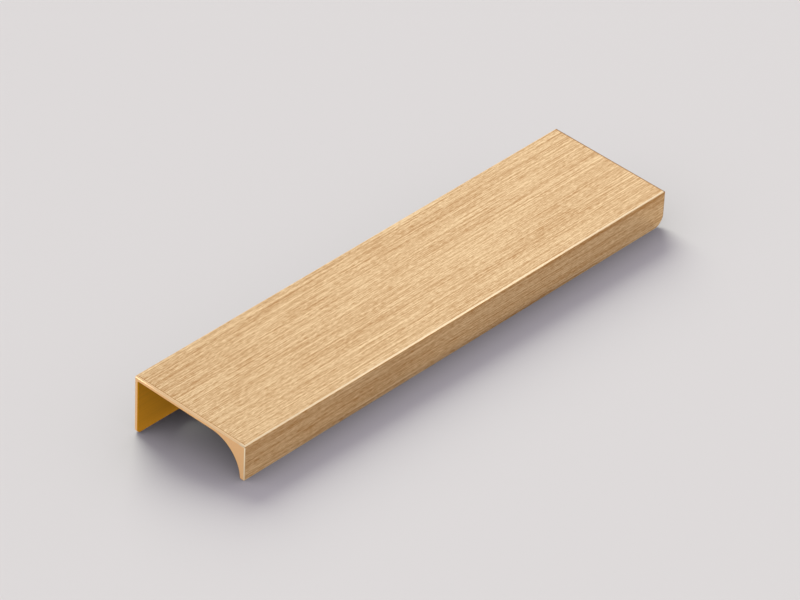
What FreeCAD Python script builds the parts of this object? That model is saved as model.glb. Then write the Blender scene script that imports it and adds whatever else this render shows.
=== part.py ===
import FreeCAD, Part
import math
import os

# Finger pull profile for a handleless cabinet door: one aluminium extrusion, cut to length.
# The flat plate caps the door's edge, the thin flange is screwed to the door's back,
# and the fingers pull on the scooped lip at the front.
# All sizes are in millimetres.

# The cut piece
LENGTH = 160.0
WIDTH = 40.0

# The plate that caps the door's edge
PLATE_THICKNESS = 1.4

# The fixing flange along the rear edge
FLANGE_DROP = 18.4
FLANGE_THICKNESS = 1.2
FLANGE_CORNER_RADIUS = 1.2
INNER_CORNER_RADIUS = 0.3

# The lip along the front edge, hollowed behind by a quarter round that thins to a foot
LIP_DROP = 11.2
LIP_FOOT = 1.6
SCOOP_RADIUS = 10.2
LIP_CORNER_RADIUS = 3.5

# The screw holes through the flange, countersunk from the rear
HOLE_COUNT = 2
HOLE_SPACING = 128.0
HOLE_DROP = 10.0
HOLE_DIAMETER = 3.6
COUNTERSINK_DIAMETER = 5.2
COUNTERSINK_ANGLE = 90.0

# The broken edges: a wider round along the plate's front edge and its two ends, a small one elsewhere
PLATE_EDGE_RADIUS = 0.5
EDGE_RADIUS = 0.25

# Places closer than this count as one, and faces that turn by less than this many degrees as smooth
TOLERANCE = 1e-4
SMOOTH_ANGLE = 3.0

X_AXIS = FreeCAD.Vector(1, 0, 0)
Y_AXIS = FreeCAD.Vector(0, 1, 0)
ORIGIN = FreeCAD.Vector(0, 0, 0)

# While it is shaped, the profile lies square, with x = 0 at the middle of its length,
# y = 0 on the front face, z = 0 on top of the plate, and +y towards the flange.
END = LENGTH / 2
FLANGE_INSIDE = WIDTH - FLANGE_THICKNESS


def section_point(y, z):
    """A point of the section, which is drawn at the near end."""
    return FreeCAD.Vector(-END, y, z)


def section():
    """The extrusion's section as a face. The scoop is an arc that leaves the plate at a tangent."""
    fall = min(LIP_DROP - PLATE_THICKNESS, SCOOP_RADIUS)
    turn = math.acos(1 - fall / SCOOP_RADIUS)
    centre_y = LIP_FOOT + SCOOP_RADIUS * math.sin(turn)
    centre_z = -PLATE_THICKNESS - SCOOP_RADIUS

    def on_scoop(angle):
        return section_point(
            centre_y - SCOOP_RADIUS * math.sin(angle),
            centre_z + SCOOP_RADIUS * math.cos(angle),
        )

    corners = [
        on_scoop(turn),
        section_point(LIP_FOOT, -LIP_DROP),
        section_point(0, -LIP_DROP),
        section_point(0, 0),
        section_point(WIDTH, 0),
        section_point(WIDTH, -FLANGE_DROP),
        section_point(FLANGE_INSIDE, -FLANGE_DROP),
        section_point(FLANGE_INSIDE, -PLATE_THICKNESS),
        on_scoop(0),
    ]
    outline = [Part.Arc(on_scoop(0), on_scoop(turn / 2), on_scoop(turn)).toShape()]
    for start, end in zip(corners, corners[1:]):
        if start.distanceToPoint(end) > TOLERANCE:
            outline.append(Part.makeLine(start, end))
    return Part.Face(Part.Wire(outline))


def edge_middle(edge):
    return edge.valueAt((edge.FirstParameter + edge.LastParameter) / 2)


def edges_at(body, x=None, y=None, z=None):
    """The edges that lie wholly at the places given, each in the axis that it names."""
    found = []
    for edge in body.Edges:
        places = [vertex.Point for vertex in edge.Vertexes] + [edge_middle(edge)]
        wanted = [(axis, value) for axis, value in enumerate((x, y, z)) if value is not None]
        if all(abs(place[axis] - value) < TOLERANCE for place in places for axis, value in wanted):
            found.append(edge)
    return found


def sharp_edges(body):
    """The edges where two faces meet at an angle, which leaves out the seams of smooth rounds."""
    found = []
    for edge in body.Edges:
        middle = edge_middle(edge)
        normals = []
        for face in body.ancestorsOfType(edge, Part.Face):
            normals.append(face.normalAt(*face.Surface.parameter(middle)))
        if len(normals) == 2 and math.degrees(normals[0].getAngle(normals[1])) > SMOOTH_ANGLE:
            found.append(edge)
    return found


def round_corners(body):
    """Rounds the flange's lower corners at both ends, and the lip's at the far end."""
    for x in (-END, END):
        body = body.makeFillet(FLANGE_CORNER_RADIUS, edges_at(body, x=x, z=-FLANGE_DROP))
    return body.makeFillet(LIP_CORNER_RADIUS, edges_at(body, x=END, z=-LIP_DROP))


def break_edges(body):
    """Fills the corner inside the flange, rounds the plate's edges, then breaks every edge left."""
    body = body.makeFillet(INNER_CORNER_RADIUS, edges_at(body, y=FLANGE_INSIDE, z=-PLATE_THICKNESS))
    plate_edges = edges_at(body, y=0, z=0) + edges_at(body, x=-END, z=0) + edges_at(body, x=END, z=0)
    body = body.makeFillet(PLATE_EDGE_RADIUS, plate_edges)
    return body.makeFillet(EDGE_RADIUS, sharp_edges(body))


def screw_hole(x):
    """The cutter for one hole: a drill through the flange, and a countersink from the rear."""
    half_angle = math.radians(COUNTERSINK_ANGLE / 2)
    sink_depth = (COUNTERSINK_DIAMETER - HOLE_DIAMETER) / 2 / math.tan(half_angle)
    rear = FreeCAD.Vector(x, WIDTH, -HOLE_DROP)
    drill = Part.makeCylinder(HOLE_DIAMETER / 2, 2 * FLANGE_THICKNESS, rear, -Y_AXIS)
    sink = Part.makeCone(COUNTERSINK_DIAMETER / 2, HOLE_DIAMETER / 2, sink_depth, rear, -Y_AXIS)
    return drill.fuse(sink)


def screw_holes():
    """One cutter for the whole row of holes, centred on the length."""
    first = -HOLE_SPACING * (HOLE_COUNT - 1) / 2
    return Part.makeCompound([screw_hole(first + i * HOLE_SPACING) for i in range(HOLE_COUNT)])


def stand_on_feet(body):
    """Tips the profile forward until the flange and the shorter lip both stand on z = 0.

    The edges that touch the ground have equal rounds, so the lean follows from the sharp corners.
    The origin ends up below the middle of the profile.
    """
    lean = math.degrees(math.atan2(FLANGE_DROP - LIP_DROP, FLANGE_INSIDE))
    body.rotate(ORIGIN, X_AXIS, lean)
    box = body.optimalBoundingBox(False, False)
    body.translate(FreeCAD.Vector(0, -box.Center.y, -box.ZMin))
    return body


profile = section().extrude(X_AXIS * LENGTH)
profile = round_corners(profile)
profile = break_edges(profile)
profile = profile.cut(screw_holes())
profile = stand_on_feet(profile.Solids[0])

os.makedirs("parts", exist_ok=True)
profile.exportStep("parts/finger_pull_profile.step")
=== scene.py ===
import math

import bmesh
import bpy
from mathutils import Matrix, Vector


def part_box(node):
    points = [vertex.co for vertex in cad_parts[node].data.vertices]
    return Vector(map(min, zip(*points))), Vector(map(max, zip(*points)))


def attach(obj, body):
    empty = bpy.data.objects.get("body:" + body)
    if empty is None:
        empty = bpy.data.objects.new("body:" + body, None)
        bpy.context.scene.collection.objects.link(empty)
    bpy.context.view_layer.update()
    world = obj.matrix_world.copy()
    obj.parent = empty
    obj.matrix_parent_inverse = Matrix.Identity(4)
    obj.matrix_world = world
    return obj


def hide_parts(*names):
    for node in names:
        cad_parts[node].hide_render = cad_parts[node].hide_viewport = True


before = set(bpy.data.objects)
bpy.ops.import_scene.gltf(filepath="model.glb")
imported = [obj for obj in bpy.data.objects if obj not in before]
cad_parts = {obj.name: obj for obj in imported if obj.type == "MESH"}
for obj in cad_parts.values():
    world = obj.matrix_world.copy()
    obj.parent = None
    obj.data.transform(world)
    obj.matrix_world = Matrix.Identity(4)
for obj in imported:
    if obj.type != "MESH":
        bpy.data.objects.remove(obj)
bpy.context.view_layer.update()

# The finger pull is a length of extruded aluminium, pressed through a die and sawn off. Its
# section is a flat plate with a thin flange at the rear and a short lip at the front, which a
# quarter round hollows out behind for the fingertips.
MM = 0.001
CAD_NODE = "finger_pull_profile"
LENGTH = 160 * MM
WIDTH = 40 * MM
PLATE_THICKNESS = 1.4 * MM
FLANGE_DROP = 18.4 * MM
FLANGE_THICKNESS = 1.2 * MM
LIP_DROP = 11.2 * MM
LIP_FOOT = 1.6 * MM
SCOOP_RADIUS = 10.2 * MM
SCOOP_STEPS = 40

X_AXIS = Vector((1, 0, 0))
NEAR_END = -LENGTH / 2
FAR_END = LENGTH / 2
FLANGE_INSIDE = WIDTH - FLANGE_THICKNESS
SCOOP_TURN = math.acos(1 - (LIP_DROP - PLATE_THICKNESS) / SCOOP_RADIUS)
SCOOP_Y = LIP_FOOT + SCOOP_RADIUS * math.sin(SCOOP_TURN)
SCOOP_Z = -PLATE_THICKNESS - SCOOP_RADIUS


def round_stretch(mesh, start, centre, axis, turn, steps):
    """Turns a vertex about a centre and returns the last one of the arc that it leaves."""
    spun = bmesh.ops.spin(mesh, geom=[start], cent=centre, axis=axis, angle=turn, steps=steps)
    return next(item for item in spun["geom_last"] if isinstance(item, bmesh.types.BMVert))


def close_outline(mesh, chain):
    """Joins the vertices of a chain by straight edges and fills the outline with one face."""
    for start, end in zip(chain, chain[1:]):
        mesh.edges.new((start, end))
    bmesh.ops.contextual_create(mesh, geom=mesh.edges[:])


def draw_out(mesh, way):
    """Draws a flat outline out into a solid."""
    drawn = bmesh.ops.extrude_face_region(mesh, geom=mesh.faces[:])
    moved = [item for item in drawn["geom"] if isinstance(item, bmesh.types.BMVert)]
    bmesh.ops.translate(mesh, verts=moved, vec=way)
    bmesh.ops.recalc_face_normals(mesh, faces=mesh.faces[:])


def extruded_bar():
    """The bar with sharp edges: y is 0 on its front face, and z is 0 on top of the plate."""
    mesh = bmesh.new()
    scoop_top = mesh.verts.new((NEAR_END, SCOOP_Y, -PLATE_THICKNESS))
    scoop_foot = round_stretch(
        mesh, scoop_top, (NEAR_END, SCOOP_Y, SCOOP_Z), X_AXIS, SCOOP_TURN, SCOOP_STEPS
    )
    corners = [
        (0, -LIP_DROP),
        (0, 0),
        (WIDTH, 0),
        (WIDTH, -FLANGE_DROP),
        (FLANGE_INSIDE, -FLANGE_DROP),
        (FLANGE_INSIDE, -PLATE_THICKNESS),
    ]
    corners = [mesh.verts.new((NEAR_END, y, z)) for y, z in corners]
    close_outline(mesh, [scoop_foot, *corners, scoop_top])
    draw_out(mesh, X_AXIS * LENGTH)
    return mesh


# The far end of the lip is milled round, where it would catch a hand, and the flange's lower
# corners a little. Then each edge is broken, and most of all the plate's at its front and ends.
FLANGE_CORNER_RADIUS = 1.2 * MM
LIP_CORNER_RADIUS = 3.5 * MM
INNER_CORNER_RADIUS = 0.3 * MM
PLATE_EDGE_RADIUS = 0.5 * MM
EDGE_RADIUS = 0.25 * MM
SHARP_ANGLE = math.radians(25)
CORNER_STEPS = 12
CLEAR = 1 * MM
SHORT_EDGE = 0.12 * MM
SAME_PLACE = 0.001 * MM
STRAIGHT = 0.02
FRONT_BRUSHED_FROM = math.radians(60)

Y_AXIS = Vector((0, 1, 0))
Z_AXIS = Vector((0, 0, 1))
BRUSHED, FACED, DRAWN, SAWN, WORN, DRILLED = range(6)


def solid_object(name, mesh):
    """A new object that holds a finished bmesh."""
    data = bpy.data.meshes.new(name)
    mesh.to_mesh(data)
    mesh.free()
    solid = bpy.data.objects.new(name, data)
    bpy.context.scene.collection.objects.link(solid)
    return solid


def cut_away(body, cutter):
    """The body with the cutter's shape taken out of it."""
    body_object = solid_object("body", body)
    cutter_object = solid_object("cutter", cutter)
    cut = body_object.modifiers.new("cut", "BOOLEAN")
    cut.operation = "DIFFERENCE"
    cut.solver = "EXACT"
    cut.object = cutter_object
    left = bmesh.new()
    left.from_object(body_object, bpy.context.evaluated_depsgraph_get())
    bpy.data.meshes.remove(body_object.data)
    bpy.data.meshes.remove(cutter_object.data)
    bmesh.ops.remove_doubles(left, verts=left.verts[:], dist=SAME_PLACE)
    return left


def lip_corner_cutter():
    """What is milled off the lip's far corner: a corner piece with a quarter round left out."""
    mesh = bmesh.new()
    centre = Vector((FAR_END - LIP_CORNER_RADIUS, -CLEAR, LIP_CORNER_RADIUS - LIP_DROP))
    low = mesh.verts.new(centre - Z_AXIS * LIP_CORNER_RADIUS)
    high = round_stretch(mesh, low, centre, -Y_AXIS, math.pi / 2, CORNER_STEPS)
    beside_high = mesh.verts.new(high.co + X_AXIS * CLEAR)
    outside = mesh.verts.new((FAR_END + CLEAR, -CLEAR, -LIP_DROP - CLEAR))
    below_low = mesh.verts.new(low.co - Z_AXIS * CLEAR)
    close_outline(mesh, [high, beside_high, outside, below_low, low])
    draw_out(mesh, Y_AXIS * (SCOOP_Y + CLEAR))
    return mesh


def edges_at(mesh, x=None, y=None, z=None):
    """The edges that lie wholly at the places given."""
    wanted = [(axis, place) for axis, place in enumerate((x, y, z)) if place is not None]
    return [
        edge for edge in mesh.edges
        if all(abs(v.co[axis] - place) < SAME_PLACE for v in edge.verts for axis, place in wanted)
    ]


def sharp_edges(mesh):
    return [edge for edge in mesh.edges if edge.calc_face_angle(0) > SHARP_ANGLE]


def round_edges(mesh, edges, radius, segments, finish=None):
    """Rounds the edges. The new faces take a finish of their own or keep their neighbours'."""
    rounded = bmesh.ops.bevel(
        mesh, geom=edges, offset=radius, segments=segments, profile=0.5, affect="EDGES",
        offset_type="OFFSET", clamp_overlap=False, material=-1,
    )
    if finish is not None:
        for face in rounded["faces"]:
            face.material_index = finish
    return rounded["faces"]


def even_out_lip_corner(mesh):
    """Merges the shortest steps of the curve where the milled corner meets the scoop."""
    corner_x = FAR_END - LIP_CORNER_RADIUS - SAME_PLACE
    corner_z = LIP_CORNER_RADIUS - LIP_DROP + SAME_PLACE
    curve = {
        v for edge in sharp_edges(mesh) for v in edge.verts
        if v.co.x > corner_x and LIP_FOOT / 2 < v.co.y < SCOOP_Y and v.co.z < corner_z
    }
    bmesh.ops.remove_doubles(mesh, verts=list(curve), dist=SHORT_EDGE)


def depth_inside(face):
    """How far a face's middle is from the nearest of the front, the top and the rear."""
    middle = face.calc_center_median()
    return min(middle.y, WIDTH - middle.y, -middle.z)


def set_finishes(mesh):
    """Milled and sawn faces look along the bar, and what the hand can't see is as drawn."""
    for face in mesh.faces:
        if abs(face.normal.x) > STRAIGHT:
            face.material_index = SAWN
        elif depth_inside(face) > SAME_PLACE:
            face.material_index = DRAWN
        elif face.calc_center_median().y < SAME_PLACE:
            face.material_index = FACED
        else:
            face.material_index = BRUSHED


def at_front_corner(edge):
    """Whether an edge lies where the plate's rounded front edge meets that of an end."""
    reach = PLATE_EDGE_RADIUS + SAME_PLACE
    return all(v.co.y < reach and v.co.z > -reach for v in edge.verts)


def finished_bar():
    mesh = cut_away(extruded_bar(), lip_corner_cutter())
    even_out_lip_corner(mesh)
    set_finishes(mesh)
    for end in (NEAR_END, FAR_END):
        flange_corner = edges_at(mesh, x=end, z=-FLANGE_DROP)
        round_edges(mesh, flange_corner, FLANGE_CORNER_RADIUS, segments=10, finish=SAWN)
    inner_corner = edges_at(mesh, y=FLANGE_INSIDE, z=-PLATE_THICKNESS)
    round_edges(mesh, inner_corner, INNER_CORNER_RADIUS, segments=4)
    plate_edges = edges_at(mesh, y=0, z=0)
    for end in (NEAR_END, FAR_END):
        plate_edges += edges_at(mesh, x=end, z=0)
    for face in round_edges(mesh, plate_edges, PLATE_EDGE_RADIUS, segments=6, finish=WORN):
        if -face.normal.y > math.sin(FRONT_BRUSHED_FROM):
            face.material_index = FACED
    edges_left = [edge for edge in sharp_edges(mesh) if not at_front_corner(edge)]
    for face in round_edges(mesh, edges_left, EDGE_RADIUS, segments=4, finish=WORN):
        if depth_inside(face) > EDGE_RADIUS:
            face.material_index = DRAWN
    return mesh


# Two screw holes are drilled through the flange and countersunk from its outer side, so that
# the flange can be screwed to the back of a door.
HOLE_SPACING = 128 * MM
HOLE_DROP = 10.0 * MM
HOLE_DIAMETER = 3.6 * MM
COUNTERSINK_DIAMETER = 5.2 * MM
HOLE_STEPS = 64
HOLE_EDGE_RADIUS = 0.06 * MM


def screw_drill(x):
    """The shape of the stepped drill at one hole: a shank, and a 90 degree cone behind it."""
    mesh = bmesh.new()
    radius = HOLE_DIAMETER / 2
    wide = COUNTERSINK_DIAMETER / 2 + CLEAR
    profile = [
        (0, FLANGE_INSIDE - CLEAR),
        (radius, FLANGE_INSIDE - CLEAR),
        (radius, WIDTH + CLEAR - (wide - radius)),
        (wide, WIDTH + CLEAR),
        (0, WIDTH + CLEAR),
    ]
    points = [mesh.verts.new((x + out, y, -HOLE_DROP)) for out, y in profile]
    for start, end in zip(points, points[1:]):
        mesh.edges.new((start, end))
    bmesh.ops.spin(
        mesh, geom=mesh.verts[:] + mesh.edges[:], cent=(x, 0, -HOLE_DROP), axis=Y_AXIS,
        angle=2 * math.pi, steps=HOLE_STEPS, use_merge=True,
    )
    bmesh.ops.remove_doubles(mesh, verts=mesh.verts[:], dist=SAME_PLACE)
    bmesh.ops.recalc_face_normals(mesh, faces=mesh.faces[:])
    for face in mesh.faces:
        face.material_index = DRILLED
    return mesh


def drilled_bar():
    mesh = finished_bar()
    for x in (-HOLE_SPACING / 2, HOLE_SPACING / 2):
        mesh = cut_away(mesh, screw_drill(x))
    rims = [
        edge for edge in sharp_edges(mesh)
        if any(face.material_index == DRILLED for face in edge.link_faces)
    ]
    round_edges(mesh, rims, HOLE_EDGE_RADIUS, segments=3, finish=DRILLED)
    return mesh


# Set down unheld, the pull rests on the feet of its lip and its flange. The flange is longer,
# so the plate leans down towards the front.
LEAN = math.atan2(FLANGE_DROP - LIP_DROP, FLANGE_INSIDE)

bar = drilled_bar()
bmesh.ops.rotate(bar, verts=bar.verts[:], cent=(0, 0, 0), matrix=Matrix.Rotation(LEAN, 3, "X"))
lowest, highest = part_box(CAD_NODE)
middle_y = (min(v.co.y for v in bar.verts) + max(v.co.y for v in bar.verts)) / 2
lowest_z = min(v.co.z for v in bar.verts)
settled = Vector((0, (lowest[1] + highest[1]) / 2 - middle_y, lowest[2] - lowest_z))
bmesh.ops.translate(bar, verts=bar.verts[:], vec=settled)
as_it_lies = Matrix.Translation(settled) @ Matrix.Rotation(LEAN, 4, "X")

for face in bar.faces:
    face.smooth = True
finger_pull = solid_object("finger_pull", bar)
finger_pull.modifiers.new("even shading", "WEIGHTED_NORMAL").keep_sharp = True
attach(finger_pull, "root")
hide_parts(CAD_NODE)


# A belt brushes the faces that show, lengthwise, and then all of the bar is anodised gold.
# Fine and broad streaks run along it, with short scratches between them, and a thin dark line
# of painted shade lies where the top turns over at its ends.
class Shade:
    """A socket of a material's nodes. Sums and products of sockets add their Math nodes."""

    def __init__(self, tree, socket=None):
        self.tree = tree
        self.socket = socket

    def node(self, kind, settings, inputs, output=0):
        """A new node: its settings are made first, then its sockets are filled or linked."""
        made = self.tree.nodes.new(kind)
        for name, value in settings.items():
            setattr(made, name, value)
        for name, value in inputs.items():
            if isinstance(value, Shade):
                self.tree.links.new(value.socket, made.inputs[name])
            elif made.inputs[name].type == "RGBA":
                made.inputs[name].default_value = (*value, 1.0)
            else:
                made.inputs[name].default_value = value
        return Shade(self.tree, made.outputs[output])

    def maths(self, operation, first, second):
        return self.node("ShaderNodeMath", {"operation": operation}, {0: first, 1: second})

    def __add__(self, other):
        return self.maths("ADD", self, other)

    def __sub__(self, other):
        return self.maths("SUBTRACT", self, other)

    def __rsub__(self, other):
        return self.maths("SUBTRACT", other, self)

    def __mul__(self, other):
        return self.maths("MULTIPLY", self, other)

    def __abs__(self):
        return self.node("ShaderNodeMath", {"operation": "ABSOLUTE"}, {0: self})

    __radd__ = __add__
    __rmul__ = __mul__


def new_finish(name):
    """A material on the pull, in its slot's order, and its object coordinates."""
    material = bpy.data.materials.new(name)
    material.use_nodes = True
    finger_pull.data.materials.append(material)
    place = Shade(material.node_tree).node("ShaderNodeTexCoord", {}, {}, "Object")
    return material, place


def set_metal(material, **sockets):
    """Fills or links the sockets of the material's metal shader."""
    metal = material.node_tree.nodes["Principled BSDF"]
    metal.inputs["Metallic"].default_value = 1.0
    for name, value in sockets.items():
        socket = metal.inputs[name.replace("_", " ")]
        if isinstance(value, Shade):
            material.node_tree.links.new(value.socket, socket)
        else:
            socket.default_value = value


def streaks(place, along, across, start):
    """Noise from about -1 to 1, in streaks as long and as wide as given. Each has its start."""
    stretched = place.node("ShaderNodeMapping", {}, {
        "Vector": place,
        "Location": (start, start, start),
        "Scale": (1 / along, 1 / across, 1 / across),
    })
    noise = place.node("ShaderNodeTexNoise", {}, {
        "Vector": stretched, "Scale": 1.0, "Detail": 2.0, "Roughness": 0.6,
    })
    return (noise - 0.5) * 3.0


def tinted(colour, strength):
    """The colour made lighter or darker by a number that changes over the surface."""
    return strength.node("ShaderNodeMix", {"data_type": "RGBA", "blend_type": "MULTIPLY"}, {
        0: 1.0, 6: colour, 7: strength,
    }, 2)


def between(first, second, share):
    """A colour between two others, by a number that changes over the surface."""
    return share.node("ShaderNodeMix", {"data_type": "RGBA"}, {
        0: share, 6: first, 7: second,
    }, 2)


def bump(height, distance):
    return height.node("ShaderNodeBump", {}, {
        "Strength": 1.0, "Distance": distance, "Height": height,
    })


def brush(finish, place, dark, light, painted_shade):
    """Brushes a finish in streaks between two colours, darkened in places by painted shade."""
    long_lines = streaks(place, along=60 * MM, across=0.27 * MM, start=3.0)
    lines = streaks(place, along=12 * MM, across=0.25 * MM, start=7.0)
    scratches = streaks(place, along=1.5 * MM, across=0.22 * MM, start=17.0)
    bands = streaks(place, along=120 * MM, across=4 * MM, start=11.0)
    pattern = long_lines * 0.62 + lines * 0.44 + scratches * 0.62 + bands * 0.05 - painted_shade
    set_metal(
        finish,
        Base_Color=between(dark, light, 0.5 + pattern),
        Roughness=0.38 + lines * 0.04,
        Normal=bump(lines + scratches * 0.5, 0.003 * MM),
    )


def coordinate(place, axis):
    return place.node("ShaderNodeSeparateXYZ", {}, {"Vector": place}, axis)


def growth(value, start, end):
    """Grows from 0 to 1 while the value goes from the start to the end."""
    return value.node("ShaderNodeMapRange", {}, {
        "Value": value, "From Min": start, "From Max": end,
    })


TOP_DARK = (0.48, 0.26, 0.10)
TOP_LIGHT = (0.92, 0.71, 0.43)
RIM_WIDTH = 0.3 * MM
END_ROUND = FAR_END - PLATE_EDGE_RADIUS

brushed, place = new_finish("brushed_gold")
# Painted shade: a thin dark line where the top turns over at each end.
painted_end_shade = growth(abs(coordinate(place, 0)), END_ROUND - RIM_WIDTH, END_ROUND)
brush(brushed, place, TOP_DARK, TOP_LIGHT, painted_end_shade)


# The front face is brushed in the same pass, by the belt's side, from low on the round at its
# top. It comes out a deeper gold, with painted shade in a narrow band under the round.
FRONT_DARK = (0.51, 0.24, 0.06)
FRONT_LIGHT = (0.91, 0.65, 0.36)
BAND_DEPTH = 1.1 * MM
BAND_FADE = 0.4 * MM
BAND_SHARE = 0.2

faced, place = new_finish("brushed_front_gold")
plate_up = as_it_lies.to_3x3() @ Z_AXIS
plate_top = plate_up.dot(settled)
height = place.node("ShaderNodeVectorMath", {"operation": "DOT_PRODUCT"}, {
    0: place, 1: plate_up,
}, "Value")
# Painted shade: a narrow darker band just under the plate's front round.
painted_band_shade = growth(height, plate_top - BAND_DEPTH - BAND_FADE, plate_top - BAND_DEPTH)
brush(faced, place, FRONT_DARK, FRONT_LIGHT, painted_band_shade * BAND_SHARE)


# Inside the channel and under its feet the metal is as the die left it, smoother, with faint
# lines along the bar. Its deeper, darker gold is painted shade and painted bounce light.
SHADED_DRAWN_GOLD = (0.69, 0.3, 0.004)

drawn, place = new_finish("drawn_gold_painted_shade")
die_lines = streaks(place, along=200 * MM, across=0.6 * MM, start=5.0)
set_metal(
    drawn,
    Base_Color=tinted(SHADED_DRAWN_GOLD, 1.0 + die_lines * 0.08),
    Roughness=0.34 + die_lines * 0.03,
    Normal=bump(die_lines, 0.002 * MM),
)


# The ends are sawn across, and the milled corners beside them are finished to match. They are
# the palest and most matt faces, with fine marks of the saw's teeth. Their pale colour is partly
# painted light, lifted to make up for the shade that they mirror.
LIFTED_SAWN_GOLD = (1.0, 0.63, 0.31)

sawn, place = new_finish("sawn_gold_painted_light")
saw_marks = streaks(place, along=0.2 * MM, across=0.5 * MM, start=13.0)
set_metal(
    sawn,
    Base_Color=tinted(LIFTED_SAWN_GOLD, 1.0 + saw_marks * 0.05),
    Roughness=0.45 + saw_marks * 0.04,
    Normal=bump(saw_marks, 0.003 * MM),
)


# The broken edges have been rubbed bright, which is partly a painted highlight, and a paler
# painted highlight runs along the front. Those of the far end get painted dark shade instead.
WORN_AND_HIGHLIT_GOLD = (1.0, 0.72, 0.42)
PAINTED_HIGHLIGHT_GOLD = (1.0, 0.82, 0.56)
PAINTED_EDGE_SHADE = (0.3, 0.2, 0.13)
HIGHLIGHT_REACH = lowest[1] + 1.7 * MM
HIGHLIGHT_FADE = 0.4 * MM
EDGE_SHADE_FADE = 0.1 * MM

worn_and_highlit, place = new_finish("worn_and_highlit_gold")
rubs = streaks(place, along=6 * MM, across=0.5 * MM, start=23.0)
# Painted highlight: the edges along the front are paler.
painted_front_highlight = growth(coordinate(place, 1), HIGHLIGHT_REACH + HIGHLIGHT_FADE, HIGHLIGHT_REACH)
# Painted shade: the edges at the far end are darkened.
painted_far_edge_shade = growth(coordinate(place, 0), END_ROUND - EDGE_SHADE_FADE, END_ROUND)
wear_and_highlight = between(WORN_AND_HIGHLIT_GOLD, PAINTED_HIGHLIGHT_GOLD, painted_front_highlight)
set_metal(
    worn_and_highlit,
    Base_Color=between(wear_and_highlight, PAINTED_EDGE_SHADE, painted_far_edge_shade + rubs * 0.06),
    Roughness=0.3 + rubs * 0.04,
)


# The screw holes are drilled before the bar is anodised, so they are gold too. The edges of
# the drill and the countersink leave them bright, with a fine grain.
DRILLED_GOLD = (0.90, 0.62, 0.30)

drilled, place = new_finish("drilled_gold")
grain = streaks(place, along=0.3 * MM, across=0.3 * MM, start=29.0)
set_metal(
    drilled,
    Base_Color=tinted(DRILLED_GOLD, 1.0 + grain * 0.04),
    Roughness=0.3 + grain * 0.03,
)


# The pull lies on a plain pale floor that runs out of sight. The metal mirrors it as evenly
# lit, but shaded under the plate, away from the open ends, with a painted white glow before the
# near corner, which brightens that corner's edge.
FLOOR_SIZE = 20.0
PALE = (0.73, 0.70, 0.69)
WHITE = (1.0, 1.0, 1.0)
GLOW = 0.95
GLOW_SHARE = 0.7
SIDE_FADE = 3 * MM
END_FADE = 36 * MM

floor_mesh = bmesh.new()
bmesh.ops.create_grid(floor_mesh, x_segments=1, y_segments=1, size=FLOOR_SIZE)
floor = solid_object("floor", floor_mesh)

floor_paint = bpy.data.materials.new("floor_paint")
floor_paint.use_nodes = True
floor.data.materials.append(floor_paint)
floor_nodes = floor_paint.node_tree.nodes
paint = floor_nodes["Principled BSDF"]
paint.inputs["Base Color"].default_value = (*PALE, 1.0)
paint.inputs["Roughness"].default_value = 0.7
paint.inputs["Specular IOR Level"].default_value = 0.2
matt = Shade(floor_paint.node_tree, paint.outputs["BSDF"])

place = matt.node("ShaderNodeTexCoord", {}, {}, "Object")
along, across = coordinate(place, 0), coordinate(place, 1)
between_ends = growth(abs(along), FAR_END, FAR_END - END_FADE)
behind_lip = growth(across, lowest[1], lowest[1] + SIDE_FADE)
before_flange = growth(across, highest[1], highest[1] - SIDE_FADE)
shaded = between_ends * behind_lip * before_flange
# Painted light: beyond the near corner the floor glows white, seen only in the metal.
beyond_near_end = growth(along, NEAR_END, NEAR_END - SIDE_FADE)
before_lip = growth(across, lowest[1], lowest[1] - SIDE_FADE)
painted_white_glow = beyond_near_end * before_lip

mirrored = matt.node("ShaderNodeLightPath", {}, {}, "Is Glossy Ray")
glow = matt.node("ShaderNodeEmission", {}, {
    "Color": between(PALE, WHITE, painted_white_glow), "Strength": GLOW,
})
glow_share = GLOW_SHARE * (1.0 - shaded) + (1.0 - GLOW_SHARE) * painted_white_glow
floor_look = matt.node("ShaderNodeMixShader", {}, {
    0: mirrored * glow_share, 1: matt, 2: glow,
})
floor_paint.node_tree.links.new(
    floor_look.socket, floor_nodes["Material Output"].inputs["Surface"]
)


# A wide soft light stands behind the pull, under an even sky that looks as pale as the floor.
# Three panels that only the metal catches brighten the plate, the front edge and the near end.
# The metal throws no light back onto the floor, so that its shadow stays cool.
SKY_LIGHT = (0.555, 0.535, 0.60)

bpy.context.scene.cycles.caustics_reflective = False

world = bpy.data.worlds.new("studio")
bpy.context.scene.world = world
world.use_nodes = True
sky = Shade(world.node_tree)
seen = sky.node("ShaderNodeLightPath", {}, {}, "Is Camera Ray")
mirrored = sky.node("ShaderNodeLightPath", {}, {}, "Is Glossy Ray")
sky_colour = between(SKY_LIGHT, PALE, sky.maths("MAXIMUM", seen, mirrored))
background = world.node_tree.nodes["Background"]
world.node_tree.links.new(sky_colour.socket, background.inputs["Color"])


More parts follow.
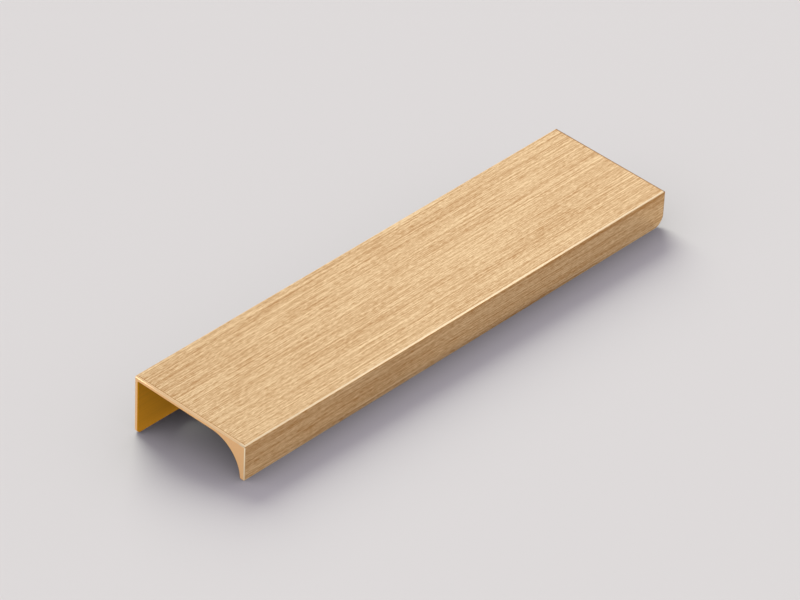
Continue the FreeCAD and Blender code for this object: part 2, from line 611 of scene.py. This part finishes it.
def place_light(name, kind, azimuth, elevation, distance, power, colour):
    """A light that looks at the pull from the azimuth and elevation given, in degrees."""
    lamp = bpy.data.lights.new(name, kind)
    lamp.energy = power
    lamp.color = colour
    light = bpy.data.objects.new(name, lamp)
    bpy.context.scene.collection.objects.link(light)
    turn = Matrix.Rotation(math.radians(azimuth), 4, "Z")
    tilt = Matrix.Rotation(math.radians(90 - elevation), 4, "X")
    light.matrix_world = turn @ tilt @ Matrix.Translation((0, 0, distance))
    return light


def place_panel(name, azimuth, elevation, distance, width, height, power, colour):
    """A flat panel of light that the metal mirrors and that the floor doesn't catch."""
    panel = place_light(name, "AREA", azimuth, elevation, distance, power, colour)
    panel.data.shape = "RECTANGLE"
    panel.data.size = width
    panel.data.size_y = height
    panel.visible_diffuse = False


key = place_light(
    "key", "SUN", azimuth=147, elevation=29, distance=1.0, power=3.0, colour=(0.95, 1.0, 0.89)
)
key.data.angle = math.radians(38)
key.visible_glossy = False

place_panel(
    "plate_panel", azimuth=114, elevation=42, distance=0.45, width=0.45, height=0.36,
    power=0.23, colour=WHITE,
)
place_panel(
    "front_edge_panel", azimuth=42, elevation=34, distance=1.0, width=0.5, height=0.25,
    power=0.5, colour=(1.0, 0.9, 0.8),
)
place_panel(
    "near_end_panel", azimuth=-125, elevation=14, distance=0.6, width=0.3, height=0.2,
    power=0.45, colour=(1.0, 0.8, 0.7),
)


# The camera looks down on the pull from its front left, from far off and through a long
# lens. It leans with the bar, so that the plate looks level.
CAMERA_AZIMUTH = math.radians(-47.72)
CAMERA_ELEVATION = math.radians(37.274)
CAMERA_ROLL = math.radians(2.695)
CAMERA_DISTANCE = 1.399
CAMERA_ASIDE = 1.881 * MM
CAMERA_ABOVE = 5.032 * MM
CAMERA_LENS = 239.18

camera = bpy.data.objects.new("camera", bpy.data.cameras.new("camera"))
bpy.context.scene.collection.objects.link(camera)
bpy.context.scene.camera = camera
camera.data.lens = CAMERA_LENS
camera.data.clip_end = 2 * FLOOR_SIZE
camera.matrix_world = (
    as_it_lies
    @ Matrix.Translation((0, WIDTH / 2, 0))
    @ Matrix.Rotation(CAMERA_AZIMUTH, 4, "Z")
    @ Matrix.Rotation(math.pi / 2 - CAMERA_ELEVATION, 4, "X")
    @ Matrix.Rotation(CAMERA_ROLL, 4, "Z")
    @ Matrix.Translation((-CAMERA_ASIDE, -CAMERA_ABOVE, CAMERA_DISTANCE))
)
bpy.context.scene.view_settings.view_transform = "Standard"
